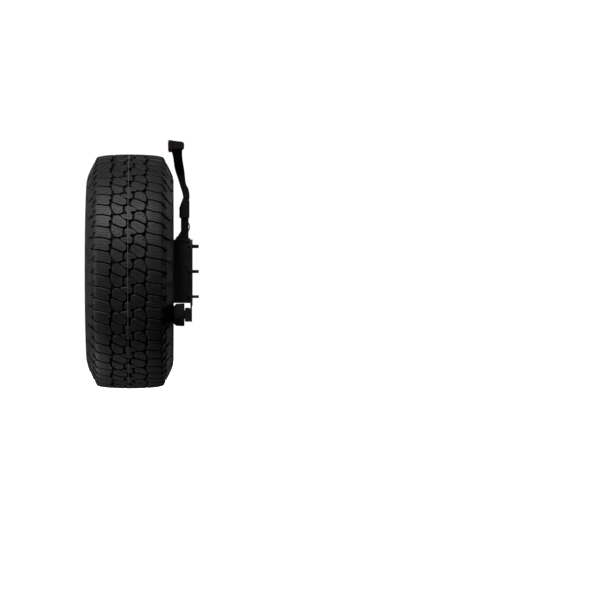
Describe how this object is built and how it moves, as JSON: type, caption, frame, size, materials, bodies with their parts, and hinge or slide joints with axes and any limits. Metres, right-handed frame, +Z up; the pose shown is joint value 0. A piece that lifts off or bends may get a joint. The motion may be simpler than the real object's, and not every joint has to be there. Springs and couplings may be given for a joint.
{
  "type": "spare tire carrier",
  "caption": "Tailgate-bolted spare wheel carrier with a depth-adjustable wheel mount, rubber bump stops, a height-adjustable brake lamp mast and the spare wheel fitted.",
  "frame": {"origin": "centre of the tailgate bolt pattern, on the tailgate skin, level with the wheel's axis", "axes": "+X forward into the tailgate, +Y to the vehicle's left, +Z up"},
  "size_m": [0.3995, 0.838, 0.8859],
  "materials": {
    "black_steel": "black powder coat, fine texture",
    "mast_alloy": "satin black cast alloy",
    "black_hardware": "black zinc",
    "zinc_steel": "dull zinc",
    "black_rubber": "matt rubber",
    "black_plastic": "fine grained",
    "wire_jacket": "smooth jacket",
    "anodised_tube": "black anodised",
    "clear_lens": "dark coated lens",
    "red_lens": "deep red prismatic",
    "circuit_board": "solder mask",
    "led": "clear encapsulated",
    "black_alloy": "satin black",
    "tyre_rubber": "matt tyre rubber",
    "weight_metal": "zinc coated",
    "black_nut": "gloss black"
  },
  "bodies": {
    "carrier": {"tailgate_gasket": "black_rubber", "tailgate_plate": "black_steel", "tailgate_bolts": "black_hardware", "tailgate_washers": "black_hardware", "fixed_channel": "black_steel", "top_bridge": "black_steel", "crossmember": "black_steel", "crossmember_bolts": "black_hardware", "crossmember_end_caps": "black_plastic", "bump_studs": "zinc_steel", "bump_jam_nuts": "black_hardware", "mast_foot": "black_steel", "mast_foot_bolts": "black_hardware", "mast_foot_nuts": "black_hardware", "mast_stem": "black_steel", "mast_collar": "mast_alloy", "collar_bolts": "black_hardware", "collar_nuts": "black_hardware", "harness_wire": "wire_jacket", "harness_grommets": "black_rubber"},
    "carriage": {"slide_channel": "black_steel", "wheel_plate": "black_steel", "wheel_studs": "zinc_steel", "depth_bolts": "black_hardware", "depth_washers": "black_hardware", "depth_nuts": "black_hardware", "camera_tube": "anodised_tube", "camera_tube_screws": "black_hardware", "camera_housing": "black_plastic", "camera_bezel": "black_plastic", "camera_module": "black_plastic", "camera_lens": "clear_lens", "camera_cable": "wire_jacket", "camera_grommet": "black_rubber"},
    "mast": {"mast_arm": "mast_alloy", "lamp_housing": "black_plastic", "lamp_gasket": "black_rubber", "lamp_lens": "red_lens", "lamp_board": "circuit_board", "lamp_leds": "led", "lamp_connector": "black_plastic"},
    "bump_left": {"bump_insert_left": "zinc_steel", "bump_pad_left": "black_rubber"},
    "bump_right": {"bump_insert_right": "zinc_steel", "bump_pad_right": "black_rubber"},
    "wheel": {"wheel_barrel": "black_alloy", "wheel_disc": "black_alloy", "tyre": "tyre_rubber", "valve_stem": "black_rubber", "balance_weights": "weight_metal"},
    "valve_cap": {"valve_cap": "black_plastic"},
    "lug_nut_1": {"lug_nut_1": "black_nut"},
    "lug_nut_2": {"lug_nut_2": "black_nut"},
    "lug_nut_3": {"lug_nut_3": "black_nut"},
    "lug_nut_4": {"lug_nut_4": "black_nut"},
    "lug_nut_5": {"lug_nut_5": "black_nut"}
  },
  "joints": [
    {"name": "depth_adjust", "type": "slide", "parent": "carrier", "child": "carriage", "axis": [-1, 0, 0], "range_m": [0, 0.025]},
    {"name": "bump_left_screw", "type": "slide", "parent": "carrier", "child": "bump_left", "axis": [-1, 0, 0], "range_m": [0, 0.025]},
    {"name": "bump_right_screw", "type": "slide", "parent": "carrier", "child": "bump_right", "axis": [-1, 0, 0], "range_m": [0, 0.025]},
    {"name": "mast_height", "type": "slide", "parent": "carrier", "child": "mast", "axis": [0, 0, 1], "range_m": [0, 0.06]},
    {"name": "wheel_off", "type": "slide", "parent": "carriage", "child": "wheel", "axis": [-1, 0, 0], "range_m": [0, 0.25]},
    {"name": "valve_cap_off", "type": "slide", "parent": "wheel", "child": "valve_cap", "axis": [-0.7071, 0.4156, -0.5721], "range_m": [0, 0.015]},
    {"name": "lug_nut_1_off", "type": "slide", "parent": "wheel", "child": "lug_nut_1", "axis": [-1, 0, 0], "range_m": [0, 0.04]},
    {"name": "lug_nut_2_off", "type": "slide", "parent": "wheel", "child": "lug_nut_2", "axis": [-1, 0, 0], "range_m": [0, 0.04]},
    {"name": "lug_nut_3_off", "type": "slide", "parent": "wheel", "child": "lug_nut_3", "axis": [-1, 0, 0], "range_m": [0, 0.04]},
    {"name": "lug_nut_4_off", "type": "slide", "parent": "wheel", "child": "lug_nut_4", "axis": [-1, 0, 0], "range_m": [0, 0.04]},
    {"name": "lug_nut_5_off", "type": "slide", "parent": "wheel", "child": "lug_nut_5", "axis": [-1, 0, 0], "range_m": [0, 0.04]}
  ],
  "couplings": [
    {"joint": "bump_left_screw", "follows": "depth_adjust", "ratio": 1},
    {"joint": "bump_right_screw", "follows": "depth_adjust", "ratio": 1}
  ]
}
